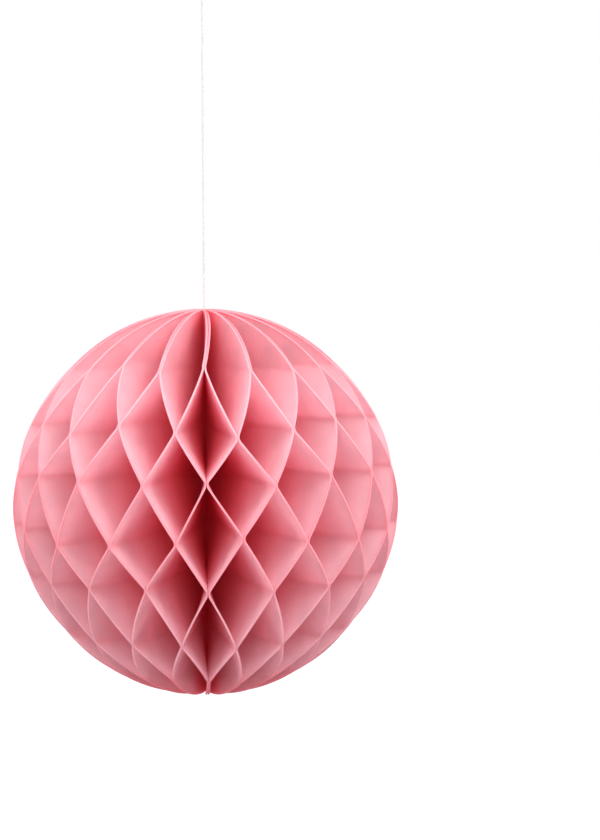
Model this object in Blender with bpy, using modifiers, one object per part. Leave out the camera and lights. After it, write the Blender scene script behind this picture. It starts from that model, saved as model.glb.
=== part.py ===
"""A honeycomb paper ball on its string, opened all the way round and hanging.

Half-round leaves of tissue stand round a spine. Glue lines join each leaf to the next one at some
heights and to the one before at the heights between, so the leaves fold to and fro and leave
diamond cells. The first and last leaf carry a card, and the two cards are stuck face to face.
Units are metres, +Z is up, the origin is the middle of the ball and the cards meet at the back, +Y.
"""

import math

import bmesh
import bpy

# The ball
ball_radius = 0.100  # the round edge of every leaf and card
leaf_count = 38
core_radius = 0.003  # the leaves' bound edges stand this far from the axis
tip_width = 0.002  # the cut-off point of a leaf at each end of the spine
tissue_thickness = 0.0002
glue_gap = 0.00015  # between faces that are glued, or that lie against each other

# The glue lines. The first set joins leaves 1 and 2, 3 and 4, and so on, the second set the others.
glue_line_pitch = 0.0527
glue_line_width = 0.005
first_set_height = 0.0186
second_set_height = -0.0085
shortest_glue_line = 0.030  # nearer the tips there is no glue
tip_spring = 0.12  # how far two glued leaves part again at the tips, as a share of a full swing

# The cover cards and what holds them together
card_thickness = 0.00035
card_setback = 0.0008  # the straight edge stays this far behind the place where the leaf clears it
adhesive_thickness = 0.0002
adhesive_width = 0.020
adhesive_length = 0.045
adhesive_reach = 0.055  # from the axis to the middle of a strip
adhesive_height = 0.045  # from the middle of the ball to the middle of a strip

# The string
string_diameter = 0.001
anchor_depth = 0.022  # from the top of the ball down to the knot in the spine
string_height = 0.166  # from the top of the ball up to the middle of the loop's knot
knot_gap = 0.0003
loop_knot_radius = 0.0019
loop_length = 0.020
loop_width = 0.013
string_step = 0.0025  # between two points of the string

# How finely the shapes are divided
fold_shares = ((0.2, 0.1), (0.5, 0.5), (0.8, 0.9))  # of the way to the next line, of the swing
cap_step_angle = math.radians(12.5)  # the most that one step of the round edge turns past the glue
card_arc_steps = 40
loop_steps = 22

# What follows from these
leaf_step = 2 * math.pi / leaf_count
glued_offset = (tissue_thickness + glue_gap) / 2
card_offset = adhesive_thickness / 2 + glue_gap + card_thickness / 2
seam_offset = card_offset + card_thickness / 2 + glue_gap + tissue_thickness / 2
seam_bend_radius = (seam_offset + glued_offset) / leaf_step
card_edge_radius = seam_bend_radius + card_setback
tip_height = math.sqrt(ball_radius**2 - (core_radius + tip_width) ** 2)


def clear_scene():
    for thing in list(bpy.data.objects):
        bpy.data.objects.remove(thing, do_unlink=True)


def material(name, colour, roughness):
    made = bpy.data.materials.new(name)
    made.use_nodes = True
    shader = made.node_tree.nodes["Principled BSDF"]
    shader.inputs["Base Color"].default_value = (*colour, 1.0)
    shader.inputs["Roughness"].default_value = roughness
    shader.inputs["Metallic"].default_value = 0.0
    made.diffuse_color = (*colour, 1.0)
    return made


def add_part(name, data, finish, collection):
    data.materials.clear()
    data.materials.append(finish)
    part = bpy.data.objects.new(name, data)
    collection.objects.link(part)
    return part


def leaf_width(height):
    """From the axis to the round edge of a leaf, at a height."""
    return math.sqrt(ball_radius**2 - height**2)


def set_of_lines(middle, swing):
    """(height, swing) of one set's glue lines. The swing is +1 or -1, towards the glued neighbour."""
    most = math.ceil(2 * ball_radius / glue_line_pitch)
    heights = [middle + k * glue_line_pitch for k in range(-most, most + 1)]
    return [
        (height, swing)
        for height in heights
        if abs(height) < ball_radius and leaf_width(height) > shortest_glue_line
    ]


def cap_rows(height, swing):
    """(height, swing) from the edge of the last glue line out to the tip, on the side of height."""
    start = math.asin(height / ball_radius)
    end = math.copysign(math.asin(tip_height / ball_radius), height)
    steps = math.ceil(abs(end - start) / cap_step_angle)
    rows = []
    for step in range(1, steps + 1):
        share = step / steps
        angle = start + (end - start) * share
        rows.append((ball_radius * math.sin(angle), swing * (1 - tip_spring * share)))
    return rows


def leaf_rows():
    """(height, swing) of every row of points, from the top tip of a leaf to the bottom tip."""
    lines = set_of_lines(first_set_height, 1) + set_of_lines(second_set_height, -1)
    lines.sort(reverse=True)
    half = glue_line_width / 2
    rows = cap_rows(lines[0][0] + half, lines[0][1])[::-1]
    for (height, swing), (below, next_swing) in zip(lines, lines[1:]):
        rows += [(height + half, swing), (height - half, swing)]
        drop = height - below - glue_line_width
        for way, turned in fold_shares:
            rows.append((height - half - drop * way, swing + (next_swing - swing) * turned))
    height, swing = lines[-1]
    rows += [(height + half, swing), (height - half, swing)]
    return rows + cap_rows(height - half, swing)


def offset_from_neighbour(beside_card, radius):
    """From a leaf's middle surface to the plane it shares with what it is glued to."""
    if not beside_card:
        return glued_offset
    at_core = core_radius * leaf_step / 2
    share = min(1, (radius - core_radius) / (seam_bend_radius - core_radius))
    return at_core + (seam_offset - at_core) * share


def leaf_mesh(name, side, card_before=False, card_after=False):
    """The middle surface of a leaf whose own direction is +Y.

    side is +1 where the first set of lines joins it to the next leaf, and -1 to the one before.
    """
    rows = leaf_rows()
    columns = 2 if card_before or card_after else 1
    mesh = bpy.data.meshes.new(name)
    shaped = bmesh.new()
    bmesh.ops.create_grid(shaped, x_segments=columns, y_segments=len(rows) - 1, size=1)
    for point in shaped.verts:
        column = round((point.co.x + 1) / 2 * columns)
        height, swing = rows[round((1 - point.co.y) / 2 * (len(rows) - 1))]
        if column == columns:
            radius = leaf_width(height)
        elif column == 0:
            radius = core_radius
        else:
            radius = min(seam_bend_radius, (core_radius + leaf_width(height)) / 2)
        share = (1 + swing * side) / 2
        turn = (share - 0.5) * leaf_step
        offset = (1 - share) * offset_from_neighbour(card_before, radius)
        offset -= share * offset_from_neighbour(card_after, radius)
        point.co.x = -math.sin(turn) * radius - math.cos(turn) * offset
        point.co.y = math.cos(turn) * radius - math.sin(turn) * offset
        point.co.z = height
    shaped.to_mesh(mesh)
    shaped.free()
    mesh.shade_smooth()
    return mesh


def add_leaves(tissue, collection):
    """The tissue leaves, numbered round from the cards by the left side."""
    first = leaf_mesh("leaf_beside_left_card", 1, card_before=True)
    last = leaf_mesh("leaf_beside_right_card", -1 if leaf_count % 2 == 0 else 1, card_after=True)
    odd = leaf_mesh("odd_leaf", 1)
    even = leaf_mesh("even_leaf", -1)
    for number in range(1, leaf_count + 1):
        if number == 1:
            mesh = first
        elif number == leaf_count:
            mesh = last
        else:
            mesh = odd if number % 2 else even
        leaf = add_part(f"leaf_{number:02d}", mesh, tissue, collection)
        leaf.rotation_euler.z = (number - 0.5) * leaf_step
        sheet = leaf.modifiers.new("Sheet", "SOLIDIFY")
        sheet.thickness = tissue_thickness
        sheet.offset = 0
        sheet.use_even_offset = True


def card_outline():
    """A half disc with its straight edge beside the axis, as (from the axis, height)."""
    end = math.acos(card_edge_radius / ball_radius)
    angles = [end - 2 * end * step / card_arc_steps for step in range(card_arc_steps + 1)]
    return [(ball_radius * math.cos(angle), ball_radius * math.sin(angle)) for angle in angles]


def add_card(name, side, card, collection):
    """A cover card, standing in the plane of the seam. side is -1 for the left one."""
    outline = bpy.data.curves.new(name, "CURVE")
    outline.dimensions = "2D"
    outline.fill_mode = "BOTH"
    outline.extrude = card_thickness / 2
    points = card_outline()
    spline = outline.splines.new("POLY")
    spline.points.add(len(points) - 1)
    for point, (across, height) in zip(spline.points, points):
        point.co = (across, height, 0, 1)
    spline.use_cyclic_u = True
    cover = add_part(name, outline, card, collection)
    cover.rotation_euler = (math.pi / 2, 0, math.pi / 2)
    cover.location.x = side * card_offset


def add_adhesive_strip(name, side, adhesive, collection):
    """A strip of double-sided tape between the cards. side is +1 for the upper one."""
    mesh = bpy.data.meshes.new(name)
    block = bmesh.new()
    bmesh.ops.create_cube(block, size=1)
    size = (adhesive_thickness, adhesive_width, adhesive_length)
    bmesh.ops.scale(block, vec=size, verts=block.verts)
    block.to_mesh(mesh)
    block.free()
    strip = add_part(name, mesh, adhesive, collection)
    strip.location = (0, adhesive_reach, side * adhesive_height)


def add_cord(name, points, cotton, collection):
    """A piece of string that follows the points."""
    line = bpy.data.curves.new(name, "CURVE")
    line.dimensions = "3D"
    line.bevel_depth = string_diameter / 2
    line.bevel_resolution = 2
    line.use_fill_caps = True
    spline = line.splines.new("POLY")
    spline.points.add(len(points) - 1)
    for point, place in zip(spline.points, points):
        point.co = (*place, 1)
    spline.use_smooth = True
    return add_part(name, line, cotton, collection)


def add_knot(name, radius, height, cotton, collection):
    mesh = bpy.data.meshes.new(name)
    ball = bmesh.new()
    bmesh.ops.create_uvsphere(ball, u_segments=12, v_segments=8, radius=radius)
    ball.to_mesh(mesh)
    ball.free()
    mesh.shade_smooth()
    knot = add_part(name, mesh, cotton, collection)
    knot.location.z = height


def loop_points(bottom):
    """A drop-shaped loop that leaves the knot and comes back to it."""
    start = 0.45
    points = []
    for step in range(loop_steps + 1):
        angle = start + (2 * math.pi - 2 * start) * step / loop_steps
        across = loop_width / 2 * 1.3 * math.sin(angle) * math.sin(angle / 2)
        rise = loop_length * (math.cos(start) - math.cos(angle)) / (1 + math.cos(start))
        points.append((across, 0, bottom + rise))
    return points


def add_string(cotton, collection):
    anchor_radius = core_radius - knot_gap
    anchor_height = ball_radius - anchor_depth
    loop_knot_height = ball_radius + string_height
    bottom = anchor_height + anchor_radius + knot_gap
    top = loop_knot_height - loop_knot_radius - knot_gap
    steps = math.ceil((top - bottom) / string_step)
    route = [(0, 0, bottom + (top - bottom) * step / steps) for step in range(steps + 1)]
    add_knot("anchor_knot", anchor_radius, anchor_height, cotton, collection)
    add_cord("hanging_string", route, cotton, collection)
    add_knot("loop_knot", loop_knot_radius, loop_knot_height, cotton, collection)
    above_knot = loop_knot_height + loop_knot_radius + knot_gap
    add_cord("hanging_loop", loop_points(above_knot), cotton, collection)


clear_scene()
parts = bpy.data.collections.new("honeycomb_paper_ball")
bpy.context.scene.collection.children.link(parts)
pink_tissue = material("pink_tissue", (0.930, 0.300, 0.350), 0.85)
pink_card = material("pink_card", (0.860, 0.270, 0.320), 0.60)
clear_adhesive = material("clear_adhesive", (0.850, 0.830, 0.780), 0.40)
white_cotton = material("white_cotton", (0.850, 0.850, 0.840), 0.80)
add_leaves(pink_tissue, parts)
add_card("cover_card_left", -1, pink_card, parts)
add_card("cover_card_right", 1, pink_card, parts)
add_adhesive_strip("upper_adhesive_strip", 1, clear_adhesive, parts)
add_adhesive_strip("lower_adhesive_strip", -1, clear_adhesive, parts)
add_string(white_cotton, parts)
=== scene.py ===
# %% [markdown]
# # A honeycomb paper ball, dressed for its picture
#
# The ball is a pack of half-round tissue leaves. Each leaf is glued to one neighbour along a few
# level lines and to the other neighbour along the lines between, so the pack opens like an
# accordion all the way round, and every leaf stands in a zigzag. The solids hold the pieces and
# their places. This file makes the fine paper, the twisted string and the light, cell by cell.

# %% Load the solids and note their box
import math
import random

import bpy
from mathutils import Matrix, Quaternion, Vector


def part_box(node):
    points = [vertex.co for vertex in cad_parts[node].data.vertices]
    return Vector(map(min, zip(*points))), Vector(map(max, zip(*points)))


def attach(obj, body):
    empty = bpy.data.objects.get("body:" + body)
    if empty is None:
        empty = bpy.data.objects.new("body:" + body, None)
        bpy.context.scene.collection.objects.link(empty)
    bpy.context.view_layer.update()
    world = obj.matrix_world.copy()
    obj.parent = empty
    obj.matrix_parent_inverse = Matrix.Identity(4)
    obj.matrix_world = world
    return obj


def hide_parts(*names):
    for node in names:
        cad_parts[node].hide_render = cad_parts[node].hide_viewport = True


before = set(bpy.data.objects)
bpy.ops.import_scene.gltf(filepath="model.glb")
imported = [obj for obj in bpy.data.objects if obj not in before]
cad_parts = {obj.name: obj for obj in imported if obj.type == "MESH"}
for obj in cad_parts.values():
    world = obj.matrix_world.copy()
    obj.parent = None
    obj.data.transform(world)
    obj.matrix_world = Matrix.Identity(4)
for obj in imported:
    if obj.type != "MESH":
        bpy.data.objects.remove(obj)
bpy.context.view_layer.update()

# %% [markdown]
# ## The camera
#
# The ball hangs a little below the camera, which stands about nine of its radii away. The picture
# is taller than it is wide and the ball sits low and to the left in it. The camera could be turned
# until the ball lies there, but that would bend the outline of the ball into an oval. A shifted
# lens keeps the view straight and only moves the frame, as a view camera does.

# %% Place the camera
picture_width = 600
picture_height = 840
ball_pixel_x = 205.4  # the middle of the ball in the picture
ball_pixel_y = 502.0
pixels_per_tangent = 1779.0  # a pixel covers the distance to it, divided by this
camera_distance = 0.929
camera_height_angle = math.radians(6.96)
camera_side_angle = math.radians(-0.6)  # a little to the left, so the front pair shows right of it
camera_roll = math.radians(0.4)  # the ball hangs a trifle askew
sensor_width = 36.0

back_from_ball = Vector(
    (
        math.sin(camera_side_angle) * math.cos(camera_height_angle),
        -math.cos(camera_side_angle) * math.cos(camera_height_angle),
        math.sin(camera_height_angle),
    )
)
bpy.ops.object.camera_add(location=back_from_ball * camera_distance)
camera = bpy.context.object
camera.name = "photo_camera"
level_camera = (-back_from_ball).to_track_quat("-Z", "Y")
roll = Quaternion((0, 0, 1), -camera_roll)
camera.rotation_euler = (level_camera @ roll).to_euler()
camera.data.sensor_width = sensor_width
camera.data.lens = pixels_per_tangent / picture_height * sensor_width
camera.data.shift_x = (picture_width / 2 - ball_pixel_x) / picture_height
camera.data.shift_y = (ball_pixel_y - picture_height / 2) / picture_height
camera.data.clip_start = 0.01
camera.data.clip_end = 50
bpy.context.scene.camera = camera
print(f"lens {camera.data.lens:.1f} mm, shift {camera.data.shift_x:.3f} and {camera.data.shift_y:.3f}")

# %% [markdown]
# ## The world and the floor
#
# The picture is a bright shop picture, with light from all round and pure white behind. A white
# world of strength 1 gives that light at a plain level, at which a colour looks as it is written.
# A white floor would throw too much light back up at the ball, so it is a dark grey that looks
# white only where the camera looks straight at it. Paper this thin needs many bounces, or the
# cells turn black inside.

# %% Set up the world and the floor
plain_white = (1.0, 1.0, 1.0, 1.0)
world_strength = 1.0
floor_grey = (0.15, 0.15, 0.15, 1.0)
floor_glow = 0.9  # fills up to white what the grey gives back
floor_drop = 0.42  # from the middle of the ball down to the floor
floor_size = 8.0

scene = bpy.context.scene
scene.view_settings.view_transform = "Standard"
scene.cycles.max_bounces = 24
scene.cycles.diffuse_bounces = 16
scene.cycles.transmission_bounces = 24


def new_material(name):
    finish = bpy.data.materials.new(name)
    finish.use_nodes = True
    return finish, finish.node_tree.nodes, finish.node_tree.links


def seen_directly(nodes, links):
    """1 where the camera, a mirror or a glass looks straight at the surface, else 0."""
    path = nodes.new("ShaderNodeLightPath")
    seen = path.outputs["Is Camera Ray"]
    for kind in ("Is Glossy Ray", "Is Transmission Ray"):
        either = nodes.new("ShaderNodeMath")
        either.operation = "MAXIMUM"
        links.new(seen, either.inputs[0])
        links.new(path.outputs[kind], either.inputs[1])
        seen = either.outputs[0]
    return seen


def multiplied(nodes, links, value, other):
    """A value times a number, or times another value."""
    product = nodes.new("ShaderNodeMath")
    product.operation = "MULTIPLY"
    links.new(value, product.inputs[0])
    if isinstance(other, float):
        product.inputs[1].default_value = other
    else:
        links.new(other, product.inputs[1])
    return product.outputs[0]


def light_the_world():
    world = bpy.data.worlds.new("white_studio")
    world.use_nodes = True
    background = world.node_tree.nodes["Background"]
    background.inputs["Color"].default_value = plain_white
    background.inputs["Strength"].default_value = world_strength
    scene.world = world


def floor_material():
    finish, nodes, links = new_material("white_floor")
    shader = nodes["Principled BSDF"]
    shader.inputs["Base Color"].default_value = floor_grey
    shader.inputs["Roughness"].default_value = 0.9
    shader.inputs["Emission Color"].default_value = plain_white
    glow = multiplied(nodes, links, seen_directly(nodes, links), floor_glow)
    links.new(glow, shader.inputs["Emission Strength"])
    return finish


def add_floor():
    bpy.ops.object.select_all(action="DESELECT")
    bpy.ops.mesh.primitive_plane_add(size=floor_size, location=(0, 0, -floor_drop))
    floor = bpy.context.object
    floor.name = "floor"
    floor.data.materials.append(floor_material())


light_the_world()
add_floor()
print("a world of strength", world_strength, "and a floor", floor_drop, "m below the ball's middle")

# %% [markdown]
# ## The lamps
#
# Even light from all round would leave the paper flat. Five soft lamps, each weaker than the world,
# give the light a direction. The strongest stands high up and a little behind the ball, so that its
# light comes down through the sheets, and the next stands high at the right. One is in front and
# one at each side, and the left one is the brighter of the two, as in the picture.

# %% Hang up the lamps
def add_soft_lamp(name, place, size, power):
    """A square lamp that looks at the ball."""
    bpy.ops.object.light_add(type="AREA", location=place)
    lamp = bpy.context.object
    lamp.name = name
    lamp.data.shape = "SQUARE"
    lamp.data.size = size
    lamp.data.energy = power
    lamp.rotation_euler = (-Vector(place)).to_track_quat("-Z", "Y").to_euler()
    print(f"{name}: {power} W, {size} m wide, {Vector(place).length:.2f} m away")


add_soft_lamp("top_lamp", (-0.45, 0.30, 1.60), 1.2, 17.0)
add_soft_lamp("key_lamp", (0.80, -0.80, 1.20), 0.9, 12.5)
add_soft_lamp("front_lamp", (-0.10, -1.60, 0.55), 0.7, 4.0)
add_soft_lamp("left_lamp", (-1.40, -0.80, 0.10), 0.6, 8.5)
add_soft_lamp("right_lamp", (1.40, -0.80, 0.10), 0.6, 4.5)

# %% [markdown]
# ## The sizes of the ball
#
# The leaves stand round the upright axis like the pages of a book opened until its covers meet, and
# they are numbered from the cards, which meet at the back. The glue lines are level: the first set
# joins leaves 1 and 2, 3 and 4, and so on, and the second set joins the others. Most sizes are the
# solids' own. The lines are narrower here and lie a millimetre off, and the glued pairs part more
# at the tips.

# %% Name the sizes
ball_radius = 0.100
leaf_count = 38
core_radius = 0.003  # the leaves' bound edges stand this far from the axis
tip_width = 0.002  # the cut-off point of a leaf at each end of the spine
tissue_thickness = 0.0002
glue_gap = 0.00015  # between faces that are glued, or that lie against each other
glue_line_pitch = 0.0527
glue_line_width = 0.0012
first_set_height = 0.0196
second_set_height = -0.0095
shortest_glue_line = 0.030  # nearer the tips there is no glue
tip_spring = 0.28  # how far glued leaves part again at the tips, as a share of a full swing
tip_bend = 1.5  # above 1, most of that comes close to the tip
card_thickness = 0.00035
adhesive_thickness = 0.0002

leaf_step = 2 * math.pi / leaf_count
glued_offset = (tissue_thickness + glue_gap) / 2
seam_offset = adhesive_thickness / 2 + card_thickness + 2 * glue_gap + tissue_thickness / 2
seam_bend_radius = (seam_offset + glued_offset) / leaf_step
tip_height = math.sqrt(ball_radius**2 - (core_radius + tip_width) ** 2)
leaf_low, leaf_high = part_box("leaf_20")
print("a leaf is", round(leaf_high.z - leaf_low.z, 4), "m tall, and should be", round(2 * tip_height, 4))

# %% [markdown]
# ## Patterns for the materials
#
# The finishes here have no print. They differ from place to place through noise, which stands for
# clouds in the dye, fibres and fuzz. It could be painted, but a pattern made of nodes is as fine
# from near as from far. The helpers stretch a noise, fade from one value to another, mix two
# colours, and let a noise stand out from the surface as bump.

# %% Helpers for patterns
usual_noise = (0.3, 0.7)  # most of a noise lies between these


def noise_on(nodes, links, place, stretch, scale, detail):
    """Noise at a place, which is first multiplied by the three numbers of stretch."""
    mapping = nodes.new("ShaderNodeMapping")
    mapping.inputs["Scale"].default_value = stretch
    links.new(place, mapping.inputs["Vector"])
    grain = nodes.new("ShaderNodeTexNoise")
    grain.inputs["Scale"].default_value = scale
    grain.inputs["Detail"].default_value = detail
    links.new(mapping.outputs["Vector"], grain.inputs["Vector"])
    return grain.outputs["Fac"]


def ramp_between(nodes, links, value, start, end):
    """0 on the far side of start, 1 on the far side of end, and smooth between."""
    reach = nodes.new("ShaderNodeMapRange")
    reach.interpolation_type = "SMOOTHSTEP"
    reach.inputs["From Min"].default_value = start
    reach.inputs["From Max"].default_value = end
    links.new(value, reach.inputs["Value"])
    return reach.outputs["Result"]


def mixed_colour(nodes, links, share, first, second):
    """The first colour where share is 0 and the second where it is 1."""
    mix = nodes.new("ShaderNodeMix")
    mix.data_type = "RGBA"
    links.new(share, mix.inputs["Factor"])
    for socket, colour in ((mix.inputs["A"], first), (mix.inputs["B"], second)):
        if isinstance(colour, tuple):
            socket.default_value = (*colour, 1.0)
        else:
            links.new(colour, socket)
    return mix.outputs["Result"]


def raise_grain(nodes, links, shader, height, strength, distance):
    """Lets a pattern stand out from the surface, by that distance at most."""
    bump = nodes.new("ShaderNodeBump")
    bump.inputs["Strength"].default_value = strength
    bump.inputs["Distance"].default_value = distance
    links.new(height, bump.inputs["Height"])
    links.new(bump.outputs["Normal"], shader.inputs["Normal"])


print("most of a noise lies from", usual_noise[0], "to", usual_noise[1])

# %% [markdown]
# ## Tissue paper
#
# The paper is thin, dull and dyed right through. Light that falls on it is scattered back, and
# part of it comes out on the other side, which is why the cells glow red and are darkest at the
# spine. A dull surface mixed with a translucent one gives both, helped by painted shade and a
# faint painted red glow near the axis. The fibres are noise that is stretched along the sheet, so
# it reads the sheet's own map, where one unit is one metre and zero is the ball's middle. The
# colour is painted darker and redder near the spine, as shade for the deep cells, and a little
# darker at the cut edge, as shade that tones down the light that the thick edge catches.

# %% Make the tissue material
tissue_colour = (0.975, 0.710, 0.760)
# painted shade: darker, redder paper towards the spine, where the deep cells lie in shade
painted_spine_shade_colour = (0.955, 0.410, 0.500)
# painted shade: a darker pink at the cut edge, which tones down the light that the thick edge catches
painted_edge_shade_colour = (0.975, 0.550, 0.605)
light_through = 0.58  # the share of the light that goes through the sheet
cloud_scale = 90.0
cloud_shade = 0.94  # the darker clouds in the dye, as a share of its colour
fibre_scale = 2500.0
painted_edge_shade_reach = (ball_radius - 0.0016, ball_radius - 0.0002)  # from the middle: where the painted edge shade begins, and where it is full
painted_spine_shade_out = (0.030, 0.097)  # from the middle: where the painted shade at the spine is full, and where it ends
painted_spine_shade_across = (0.003, 0.030)  # the same from the axis
painted_glow_strength = 0.014  # a painted red glow, which stands for light that wanders in through dozens of sheets
painted_glow_reach = (0.040, 0.003)  # from the axis: where it begins, and where it is full
painted_glow_colour = (1.000, 0.060, 0.110)


def dye_and_painted_shade(nodes, links, place, from_middle, from_axis):
    """The colour of the paper at a place on its map, with painted shade at the spine and the cut edge.
    """
    cloud = noise_on(nodes, links, place, (1, 1, 1), cloud_scale, 3.0)
    cloudy = ramp_between(nodes, links, cloud, *usual_noise)
    darker = tuple(channel * cloud_shade for channel in tissue_colour)
    outer = mixed_colour(nodes, links, cloudy, darker, tissue_colour)
    # painted shade: the colour turns darker and redder towards the spine
    out = ramp_between(nodes, links, from_middle, *painted_spine_shade_out)
    across = ramp_between(nodes, links, from_axis, *painted_spine_shade_across)
    away_from_spine = multiplied(nodes, links, out, across)
    body = mixed_colour(nodes, links, away_from_spine, painted_spine_shade_colour, outer)
    # painted shade at the cut edge
    near_edge = ramp_between(nodes, links, from_middle, *painted_edge_shade_reach)
    return mixed_colour(nodes, links, near_edge, body, painted_edge_shade_colour)


def tissue_material():
    finish, nodes, links = new_material("pink_tissue_paper")
    sheet_map = nodes.new("ShaderNodeUVMap")
    sheet_map.uv_map = "sheet"
    place = sheet_map.outputs["UV"]
    length = nodes.new("ShaderNodeVectorMath")
    length.operation = "LENGTH"
    links.new(place, length.inputs[0])
    separate = nodes.new("ShaderNodeSeparateXYZ")
    links.new(place, separate.inputs["Vector"])
    from_axis = separate.outputs["X"]
    colour = dye_and_painted_shade(nodes, links, place, length.outputs["Value"], from_axis)

    shader = nodes["Principled BSDF"]
    links.new(colour, shader.inputs["Base Color"])
    shader.inputs["Roughness"].default_value = 0.85
    shader.inputs["Specular IOR Level"].default_value = 0.2
    fibre = noise_on(nodes, links, place, (1, 0.25, 1), fibre_scale, 4.0)
    raise_grain(nodes, links, shader, fibre, 0.25, 0.0001)
    # painted glow: the paper near the axis gives off a faint red light
    deep = ramp_between(nodes, links, from_axis, *painted_glow_reach)
    links.new(multiplied(nodes, links, deep, painted_glow_strength), shader.inputs["Emission Strength"])
    shader.inputs["Emission Color"].default_value = (*painted_glow_colour, 1.0)

    through = nodes.new("ShaderNodeBsdfTranslucent")
    links.new(colour, through.inputs["Color"])
    both = nodes.new("ShaderNodeMixShader")
    both.inputs["Fac"].default_value = light_through
    links.new(shader.outputs["BSDF"], both.inputs[1])
    links.new(through.outputs["BSDF"], both.inputs[2])
    links.new(both.outputs["Shader"], nodes["Material Output"].inputs["Surface"])
    return finish


tissue = tissue_material()
print("made", tissue.name, "with", len(tissue.node_tree.nodes), "nodes")

# %% [markdown]
# ## The cards and the tape at the back
#
# The two cover cards and the strips of tape between them are flat sheets, so their solids stay as
# they are and only get a better material. The card is dyed like the paper and has a fine grain.
# The tape is a milky film that is seen at its edges only, and is a little glossy.

# %% Dress the cards and the tape
card_colour = (0.90, 0.57, 0.62)
card_shade = (0.84, 0.50, 0.55)
card_grain_scale = 900.0
tape_colour = (0.86, 0.85, 0.80)
tape_streak_scale = 1500.0
tape_roughness = (0.25, 0.45)


def card_material():
    finish, nodes, links = new_material("pale_pink_card")
    shader = nodes["Principled BSDF"]
    place = nodes.new("ShaderNodeTexCoord").outputs["Object"]
    grain = noise_on(nodes, links, place, (1, 1, 1), card_grain_scale, 4.0)
    grainy = ramp_between(nodes, links, grain, *usual_noise)
    colour = mixed_colour(nodes, links, grainy, card_shade, card_colour)
    links.new(colour, shader.inputs["Base Color"])
    shader.inputs["Roughness"].default_value = 0.75
    raise_grain(nodes, links, shader, grain, 0.2, 0.00003)
    return finish


def tape_material():
    finish, nodes, links = new_material("double_sided_tape")
    shader = nodes["Principled BSDF"]
    place = nodes.new("ShaderNodeTexCoord").outputs["Object"]
    streak = noise_on(nodes, links, place, (1, 1, 0.1), tape_streak_scale, 2.0)
    rough = nodes.new("ShaderNodeMapRange")
    rough.inputs["To Min"].default_value, rough.inputs["To Max"].default_value = tape_roughness
    links.new(streak, rough.inputs["Value"])
    links.new(rough.outputs["Result"], shader.inputs["Roughness"])
    shader.inputs["Base Color"].default_value = (*tape_colour, 1.0)
    return finish


card = card_material()
tape = tape_material()
for node, finish in (
    ("cover_card_left", card),
    ("cover_card_right", card),
    ("upper_adhesive_strip", tape),
    ("lower_adhesive_strip", tape),
):
    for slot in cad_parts[node].material_slots:
        slot.material = finish
print("dressed the cards with", card.name, "and the strips with", tape.name)

# %% [markdown]
# ## Cotton string
#
# The string is three plies of white cotton twisted together, a millimetre thick. A smooth tube
# would look like wire. The twist could be bump in a material, but then its outline stays smooth,
# so one turn of the twist is modelled and repeated along the string with Array, and a Curve
# modifier bends the row of turns along any path. The same thread then makes the string, the
# loop and the knots. Natural cotton is never pure white, so the string shows on the background.

# %% Make one turn of the thread
string_diameter = 0.001
ply_count = 3
ply_depth = 0.12  # how deep the grooves between the plies are, as a share of the radius
turn_length = 0.003
rings_in_turn = 12
points_in_ring = 24
cotton_colour = (0.76, 0.76, 0.76)
cotton_shade = (0.60, 0.60, 0.60)
fuzz_scale = 9000.0
fuzz_between = (0.3, 0.75)  # shades up to the first, full colour from the second


def cotton_material():
    finish, nodes, links = new_material("white_cotton_thread")
    shader = nodes["Principled BSDF"]
    place = nodes.new("ShaderNodeTexCoord").outputs["Object"]
    fuzz = noise_on(nodes, links, place, (1, 1, 0.3), fuzz_scale, 3.0)
    fuzzy = ramp_between(nodes, links, fuzz, *fuzz_between)
    colour = mixed_colour(nodes, links, fuzzy, cotton_shade, cotton_colour)
    links.new(colour, shader.inputs["Base Color"])
    shader.inputs["Roughness"].default_value = 0.9
    shader.inputs["Sheen Weight"].default_value = 0.3
    raise_grain(nodes, links, shader, fuzz, 0.6, 0.00005)
    return finish


def add_thread_turn():
    """One turn of three plies, standing on the origin: an open tube whose section turns as it rises."""
    bpy.ops.object.select_all(action="DESELECT")
    bpy.ops.mesh.primitive_cylinder_add(
        vertices=points_in_ring,
        radius=string_diameter / 2,
        depth=turn_length,
        end_fill_type="NOTHING",
        location=(0, 0, turn_length / 2),
    )
    turn = bpy.context.object
    turn.name = "thread_turn"
    bpy.ops.object.transform_apply(location=True)
    bpy.ops.object.mode_set(mode="EDIT")
    bpy.ops.mesh.select_mode(type="EDGE")
    bpy.ops.mesh.select_all(action="DESELECT")
    bpy.ops.object.mode_set(mode="OBJECT")
    for edge in turn.data.edges:
        low, high = (turn.data.vertices[index].co.z for index in edge.vertices)
        edge.select = abs(high - low) > turn_length / 2
    bpy.ops.object.mode_set(mode="EDIT")
    bpy.ops.mesh.subdivide(number_cuts=rings_in_turn - 1)
    bpy.ops.object.mode_set(mode="OBJECT")
    for point in turn.data.vertices:
        around = math.atan2(point.co.y, point.co.x)
        twist = 2 * math.pi * point.co.z / turn_length
        groove = (1 - math.cos(ply_count * around)) / 2
        radius = string_diameter / 2 * (1 - ply_depth * groove)
        point.co.x = radius * math.cos(around + twist)
        point.co.y = radius * math.sin(around + twist)
    return turn


cotton = cotton_material()
thread_turn = add_thread_turn()
print("one turn of thread has", len(thread_turn.data.polygons), "faces")

# %% [markdown]
# ## Laying thread along a path
#
# Real thread has a whole twist all along, so a path gets a whole number of turns, which are
# stretched a little to fill it. Array stacks the turns and merges where they meet, and Curve bends
# the stack. The tube is open at both ends then, and each end is closed with one face.

# %% Lay the thread along a path
def length_of(points):
    return sum((Vector(b) - Vector(a)).length for a, b in zip(points, points[1:]))


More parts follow.
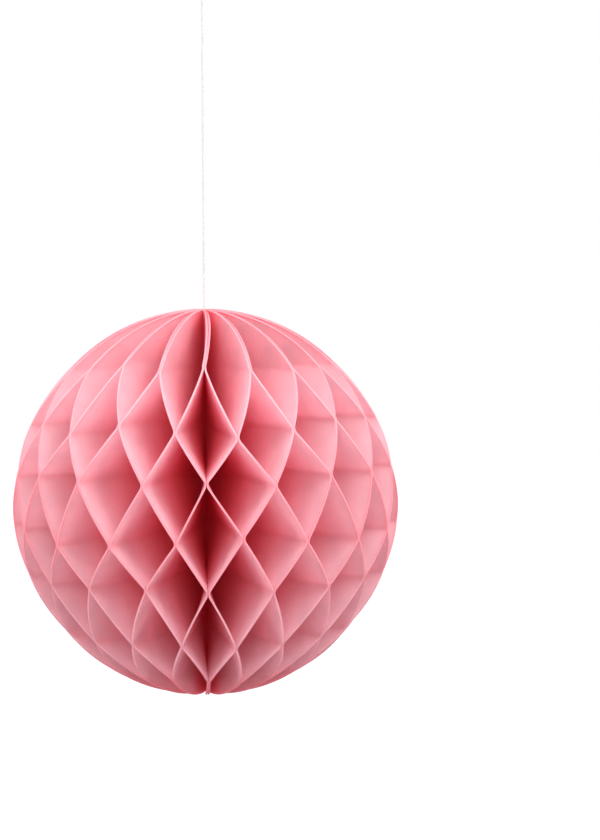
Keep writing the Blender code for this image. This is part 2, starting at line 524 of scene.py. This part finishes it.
def add_path(name, points):
    line = bpy.data.curves.new(name, "CURVE")
    line.dimensions = "3D"
    spline = line.splines.new("POLY")
    spline.points.add(len(points) - 1)
    for point, place in zip(spline.points, points):
        point.co = (*place, 1)
    path = bpy.data.objects.new(name, line)
    bpy.context.collection.objects.link(path)
    return path


def close_ends():
    """Closes the open ends of the active tube and turns its faces outwards."""
    bpy.ops.object.mode_set(mode="EDIT")
    bpy.ops.mesh.select_all(action="DESELECT")
    bpy.ops.mesh.select_mode(type="EDGE")
    bpy.ops.mesh.select_non_manifold()
    bpy.ops.mesh.edge_face_add()
    bpy.ops.mesh.select_all(action="SELECT")
    bpy.ops.mesh.normals_make_consistent(inside=False)
    bpy.ops.object.mode_set(mode="OBJECT")


def add_thread(name, points, node):
    """Twisted thread along a path. It stands for that solid."""
    path = add_path(name + "_path", points)
    turns = round(length_of(points) / turn_length)
    stretch = length_of(points) / (turns * turn_length)
    thread = bpy.data.objects.new(name, thread_turn.data.copy())
    bpy.context.collection.objects.link(thread)
    for point in thread.data.vertices:
        point.co.z *= stretch
    bpy.ops.object.select_all(action="DESELECT")
    thread.select_set(True)
    bpy.context.view_layer.objects.active = thread
    row = thread.modifiers.new("Turns", "ARRAY")
    row.count = turns
    row.use_relative_offset = False
    row.use_constant_offset = True
    row.constant_offset_displace = (0, 0, turn_length * stretch)
    row.use_merge_vertices = True
    row.merge_threshold = 0.00001
    bend = thread.modifiers.new("Path", "CURVE")
    bend.object = path
    bend.deform_axis = "POS_Z"
    bpy.ops.object.modifier_apply(modifier=row.name)
    bpy.ops.object.modifier_apply(modifier=bend.name)
    close_ends()
    bpy.ops.object.shade_smooth_by_angle(angle=math.radians(50))
    bpy.data.objects.remove(path, do_unlink=True)
    thread.data.materials.clear()
    thread.data.materials.append(cotton)
    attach(thread, "root")
    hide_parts(node)
    print(name, "has", turns, "turns and is", round(length_of(points), 4), "m long")
    return thread


# %% [markdown]
# ## The string, its knots and its loop
#
# The string is tied off inside the spine, comes out at the top between the leaves' tips, and runs
# straight up past the edge of the picture, where it ends in a knotted loop for a hook. It carries
# only about twenty grams, but that is enough to keep so short a string taut, so it needs no sag.
# A tight overhand knot is close to the curve that mathematicians call a trefoil, so the knots are
# thread laid along one.

# %% Hang the ball
anchor_height = 0.078
anchor_knot_radius = 0.0027
string_low = 0.081
string_high = 0.2638
loop_knot_height = 0.266
loop_knot_radius = 0.0019
knot_opening = math.radians(12)  # the trefoil is cut open here, by this much to each side
loop_low = 0.2682
loop_length = 0.020
loop_width = 0.013
loop_opening = 0.45  # radians round the loop that are left out at each side of its knot
loop_fullness = 1.3  # brings the drop's sine curve to the loop's width
route_points = 24
knot_points = 90
loop_points = 60


def knot_path(middle_height, radius):
    """An overhand knot, drawn tight, that fits in a ball of that radius."""
    unit = (radius - string_diameter / 2) / 3
    points = []
    for step in range(knot_points + 1):
        angle = knot_opening + (2 * math.pi - 2 * knot_opening) * step / knot_points
        across = math.sin(angle) + 2 * math.sin(2 * angle)
        rise = math.cos(angle) - 2 * math.cos(2 * angle)
        forward = -math.sin(3 * angle)
        points.append((across * unit, forward * unit, middle_height + rise * unit))
    return points


def loop_path():
    """A drop-shaped loop that leaves the knot and comes back to it."""
    points = []
    for step in range(loop_points + 1):
        angle = loop_opening + (2 * math.pi - 2 * loop_opening) * step / loop_points
        across = loop_width / 2 * loop_fullness * math.sin(angle) * math.sin(angle / 2)
        climb = (math.cos(loop_opening) - math.cos(angle)) / (1 + math.cos(loop_opening))
        points.append((across, 0, loop_low + loop_length * climb))
    return points


route = [
    (0, 0, string_low + (string_high - string_low) * step / route_points)
    for step in range(route_points + 1)
]
string = add_thread("cotton_string", route, "hanging_string")
anchor = add_thread("knot_in_spine", knot_path(anchor_height, anchor_knot_radius), "anchor_knot")
loop_knot = add_thread("knot_below_loop", knot_path(loop_knot_height, loop_knot_radius), "loop_knot")
loop = add_thread("string_loop", loop_path(), "hanging_loop")
bpy.data.objects.remove(thread_turn, do_unlink=True)

# %% [markdown]
# ## Folding one leaf
#
# A leaf starts flat. Along each glue line it lies against one neighbour, and between two lines it
# crosses to the other neighbour, nearly straight, with a soft bend beside the glue. So a leaf can
# be folded with one number for each height: the swing, +1 where the first set of lines holds it
# and -1 where the second set does. Pressing folds in by hand with proportional editing would be
# slow and never the same twice, so the points of a flat grid are moved by that rule.

# %% Place the glue lines
def set_of_lines(middle, swing):
    """(height, swing) of one set's glue lines."""
    most = math.ceil(2 * ball_radius / glue_line_pitch)
    heights = [middle + k * glue_line_pitch for k in range(-most, most + 1)]
    return [
        (height, swing)
        for height in heights
        if abs(height) < ball_radius and math.sqrt(ball_radius**2 - height**2) > shortest_glue_line
    ]


glue_lines = sorted(
    set_of_lines(first_set_height, 1) + set_of_lines(second_set_height, -1), reverse=True
)
print("glue lines from the top down:", [round(height, 4) for height, _ in glue_lines])

# %% Set out the rows of a leaf
rows_across_line = 3
rows_between_lines = 26
rows_in_cap = 14  # between the last glue line and a tip
soft_bend = 0.04  # the share of the way between two lines that each bend takes


def crossed(way):
    """How far a leaf has crossed over, from 0 to 1, at a share of the way between two lines."""
    slope = 1 / (1 - soft_bend)
    if way < soft_bend:
        return slope * way * way / (2 * soft_bend)
    if way > 1 - soft_bend:
        return 1 - slope * (1 - way) ** 2 / (2 * soft_bend)
    return slope * (way - soft_bend / 2)


def cap_rows(line_height, swing, span, towards):
    """The rows from the last line out to a tip, upwards where towards is 1 and down where it is -1."""
    start = math.asin((line_height + towards * glue_line_width / 2) / ball_radius)
    end = towards * math.asin(tip_height / ball_radius)
    rows = []
    for step in range(1, rows_in_cap + 1):
        share = step / rows_in_cap
        height = ball_radius * math.sin(start + (end - start) * share)
        tip_share = (height - line_height) / (towards * tip_height - line_height)
        rows.append((height, swing * (1 - tip_spring * share**tip_bend), span, tip_share))
    return rows


def leaf_rows(heights):
    """(height, swing, span, tip share) of every row of a leaf whose glue lines lie at heights.

    They run from top to bottom. Span k lies below line k, and -1 is the cap above the lines. The
    tip share grows from 0 at the last line before a tip to 1 at the tip.
    """
    half = glue_line_width / 2
    last = len(heights) - 1
    rows = cap_rows(heights[0], glue_lines[0][1], -1, 1)[::-1]
    for k, (height, (_, swing)) in enumerate(zip(heights, glue_lines)):
        for step in range(rows_across_line + 1):
            rows.append((height + half - glue_line_width * step / rows_across_line, swing, k, 0))
        if k < last:
            drop = height - heights[k + 1] - glue_line_width
            for step in range(1, rows_between_lines):
                way = step / rows_between_lines
                rows.append((height - half - drop * way, swing * (1 - 2 * crossed(way)), k, 0))
    return rows + cap_rows(heights[-1], glue_lines[-1][1], last, -1)


row_count = len(leaf_rows([height for height, _ in glue_lines]))
print(row_count, "rows of points in a leaf")

# %% [markdown]
# ## The glue lines are laid by hand and machine, and wander
#
# On the real ball no two cells are quite alike: a line sits a little high or low, and a pair of
# leaves is opened a little further than the next. Each plane in which two leaves are glued gets
# small shifts of its own. Both leaves read the same shifts, so they still meet. The random numbers
# start from a fixed seed, so the ball comes out the same each time.

# %% Draw small shifts for every glued pair
wander = random.Random(38)
height_wander = 0.0011
turn_wander = 0.05  # as a share of the step between two leaves
lean = math.radians(0.5)  # the lines rise this steeply towards the ball's right side
tip_turn_wander = 0.03  # radians that a pair leans at its two tips
front_tip_turn = 0.08  # the pair that faces the camera leans to the right at the string

plane_shifts = []
for plane in range(leaf_count + 1):
    seam = plane in (0, leaf_count)
    shifts = []
    for _ in glue_lines:
        up = wander.gauss(0, height_wander) - lean * ball_radius * math.sin(plane * leaf_step)
        turn = wander.gauss(0, turn_wander * leaf_step)
        shifts.append((0.0, 0.0) if seam else (up, turn))
    plane_shifts.append(shifts)

tip_turns = [
    (wander.gauss(0, tip_turn_wander), wander.gauss(0, tip_turn_wander))
    for _ in range(leaf_count + 1)
]
tip_turns[0] = tip_turns[leaf_count] = (0.0, 0.0)
tip_turns[leaf_count // 2] = (front_tip_turn, 0.0)
print("shifts for", len(plane_shifts), "planes")

# %% Find where a leaf's planes and lines lie
def plane_turn(plane, span, tip_share):
    """The angle of a glued plane from the cards, as a leaf has it in that span.

    A span lies between two lines and a plane is glued at one of them, so the paper runs straight
    from the place of the one glued pair to the place of the next.
    """
    last = len(glue_lines) - 1
    glued_swing = 1 if plane % 2 else -1
    if span < 0:
        extra = plane_shifts[plane][0][1] + tip_turns[plane][0] * tip_share
    elif span == last:
        extra = plane_shifts[plane][last][1] + tip_turns[plane][1] * tip_share
    elif glue_lines[span][1] == glued_swing:
        extra = plane_shifts[plane][span][1]
    else:
        extra = plane_shifts[plane][span + 1][1]
    return plane * leaf_step + extra


def line_heights(number):
    """The heights of a leaf's glue lines. Each is set by the plane that is glued there."""
    side = 1 if number % 2 else -1
    heights = []
    for k, (height, swing) in enumerate(glue_lines):
        plane = number if swing * side > 0 else number - 1
        heights.append(height + plane_shifts[plane][k][0])
    return heights


print("the lines of leaf 19:", [round(height, 4) for height in line_heights(19)])

# %% [markdown]
# ## The sheet and its edges
#
# The sheet is far thinner than anything else here, and is seen edge on. Its cut edge is loose and
# fluffy, so it is given more thickness there, and a little more in the bound spine, where glue
# soaks the sheets. The columns of points crowd at the cut edge, which needs them for its shape.

# %% Shape the sheet
leaf_columns = 16
edge_depths = (0.0, 0.0004, 0.0010, 0.0018, 0.0030, 0.0050)  # the columns near the cut edge
crowded_room = 0.025  # in a narrower row they crowd in proportion
edge_thickness = 0.0009
fluff_depth = 0.0035
spine_thickness = 0.00046
spine_depth = 0.0080
slope_pull = 0.02  # how far the edge is pulled in at 45 degrees, as a share of its reach


def rim_reach(height):
    """From the axis to the cut edge at a height. Opening the ball pulls the edge in at the slopes."""
    rise = height / ball_radius
    slope_share = 4 * rise**2 * (1 - rise**2)
    return math.sqrt(ball_radius**2 - height**2) * (1 - slope_pull * slope_share)


def reach_along(column, width):
    """From the axis to a column of points, in a row of that width."""
    room = width - core_radius
    crowd = min(1, room / crowded_room)
    depths = [depth * crowd for depth in edge_depths]
    inner_columns = leaf_columns - len(depths) + 1
    if column >= inner_columns:
        return width - depths[leaf_columns - column]
    return core_radius + (room - depths[-1]) * column / inner_columns


def sheet_swell(radius, depth):
    """How much thicker the sheet is: 1 at the cut edge, less in the spine and 0 between."""
    at_edge = max(0.0, 1 - depth / fluff_depth) ** 2
    at_spine = max(0.0, 1 - (radius - core_radius) / spine_depth) ** 2
    spine_share = (spine_thickness - tissue_thickness) / (edge_thickness - tissue_thickness)
    return max(at_edge, at_spine * spine_share)


def offset_from_neighbour(beside_card, radius, depth):
    """From a leaf's middle surface to the plane that it shares with what it is glued to."""
    swollen = (edge_thickness - tissue_thickness) / 2 * sheet_swell(radius, depth)
    if not beside_card:
        return glued_offset + swollen
    at_core = core_radius * leaf_step / 2
    share = min(1, (radius - core_radius) / (seam_bend_radius - core_radius))
    return at_core + (seam_offset - at_core) * share + swollen * share


print("the cut edge is", round(rim_reach(0.0), 4), "m from the axis at the ball's middle height")

# %% [markdown]
# ## All the leaves
#
# One flat grid is the model for every leaf. A copy of it is folded between its two planes, each
# point at the share of the way that the swing gives. The copy keeps the place of every point on the
# flat sheet as its map, for the material, and Solidify then gives it its thickness.

# %% Fold the leaves
def add_flat_leaf():
    bpy.ops.object.select_all(action="DESELECT")
    bpy.ops.mesh.primitive_grid_add(
        x_subdivisions=leaf_columns, y_subdivisions=row_count - 1, size=2, location=(0, 0, 0)
    )
    flat = bpy.context.object
    flat.name = "flat_leaf"
    flat.data.uv_layers[0].name = "sheet"
    return flat


def fold_leaf(leaf, number):
    """Moves the points of a flat grid to where leaf number's paper lies."""
    side = 1 if number % 2 else -1
    rows = leaf_rows(line_heights(number))
    mesh = leaf.data
    sheet_places = [None] * len(mesh.vertices)
    for point in mesh.vertices:
        column = round((point.co.x + 1) / 2 * leaf_columns)
        height, swing, span, tip_share = rows[round((1 - point.co.y) / 2 * (row_count - 1))]
        width = rim_reach(height)
        radius = reach_along(column, width)
        depth = width - radius
        share = (1 + swing * side) / 2
        turn = (1 - share) * plane_turn(number - 1, span, tip_share)
        turn += share * plane_turn(number, span, tip_share)
        offset = (1 - share) * offset_from_neighbour(number == 1, radius, depth)
        offset -= share * offset_from_neighbour(number == leaf_count, radius, depth)
        sheet_places[point.index] = (radius, height)
        point.co.x = -math.sin(turn) * radius - math.cos(turn) * offset
        point.co.y = math.cos(turn) * radius - math.sin(turn) * offset
        point.co.z = height
    for loop, corner in zip(mesh.loops, mesh.uv_layers["sheet"].data):
        corner.uv = sheet_places[loop.vertex_index]
    fluff = leaf.vertex_groups.new(name="fluff")
    for index, (radius, height) in enumerate(sheet_places):
        fluff.add([index], sheet_swell(radius, rim_reach(height) - radius), "REPLACE")


def give_thickness(leaf):
    bpy.ops.object.select_all(action="DESELECT")
    leaf.select_set(True)
    bpy.context.view_layer.objects.active = leaf
    sheet = leaf.modifiers.new("Sheet", "SOLIDIFY")
    sheet.thickness = edge_thickness
    sheet.vertex_group = "fluff"
    sheet.thickness_vertex_group = tissue_thickness / edge_thickness
    sheet.offset = 0
    sheet.use_even_offset = True
    bpy.ops.object.modifier_apply(modifier=sheet.name)
    bpy.ops.object.shade_smooth_by_angle(angle=math.radians(40))


flat_leaf = add_flat_leaf()
for number in range(1, leaf_count + 1):
    leaf = bpy.data.objects.new(f"tissue_leaf_{number:02d}", flat_leaf.data.copy())
    bpy.context.collection.objects.link(leaf)
    fold_leaf(leaf, number)
    give_thickness(leaf)
    leaf.data.materials.clear()
    leaf.data.materials.append(tissue)
    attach(leaf, "root")
    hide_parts(f"leaf_{number:02d}")
bpy.data.objects.remove(flat_leaf, do_unlink=True)
print(leaf_count, "leaves of", len(leaf.data.polygons), "faces")
